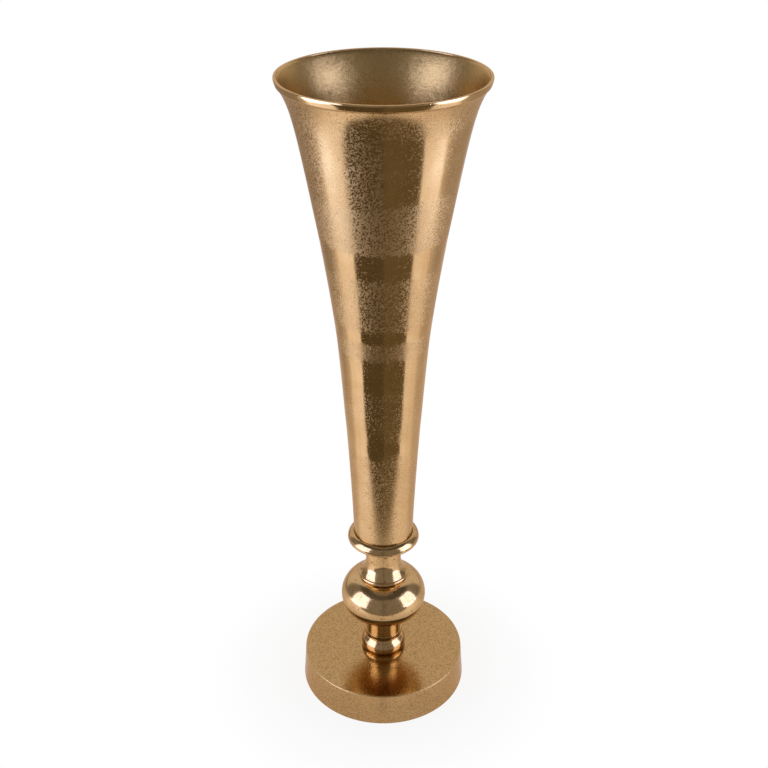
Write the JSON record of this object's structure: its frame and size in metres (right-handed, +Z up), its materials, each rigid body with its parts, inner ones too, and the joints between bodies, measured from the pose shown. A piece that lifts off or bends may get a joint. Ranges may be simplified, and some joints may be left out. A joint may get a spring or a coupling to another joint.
{
  "type": "trumpet vase",
  "caption": "Tall flared trumpet vase in antique-gold cast metal, seated in a collar on a turned stem with a ball knop and a round hollow base; holds flowers, and the trumpet lifts off.",
  "frame": {"origin": "on the floor, under the middle of the base", "axes": "+Z up along the axis that every piece is turned about; X and Y are alike"},
  "size_m": [0.2132, 0.2132, 0.7528],
  "materials": {
    "gold_cast": "sand-cast and hand-polished, antique-gold lacquer",
    "gold_polished": "turned and polished, antique-gold lacquer",
    "felt": "pressed felt",
    "seat_rubber": "matte",
    "zinc_steel": "zinc-plated"
  },
  "bodies": {
    "pedestal": {"base": "gold_cast", "felt_ring": "felt", "ring_spool": "gold_polished", "ball_knop": "gold_polished", "bell_neck": "gold_polished", "collar_dish": "gold_polished", "seat_washer": "seat_rubber", "tie_rod": "zinc_steel", "top_nut": "zinc_steel", "top_washer": "zinc_steel", "bottom_nut": "zinc_steel", "bottom_washer": "zinc_steel", "lock_washer": "zinc_steel"},
    "trumpet": {"trumpet": "gold_cast"}
  },
  "joints": [
    {"name": "trumpet_lift", "type": "slide", "parent": "pedestal", "child": "trumpet", "axis": [0, 0, 1], "range_m": [0, 0.06]}
  ]
}
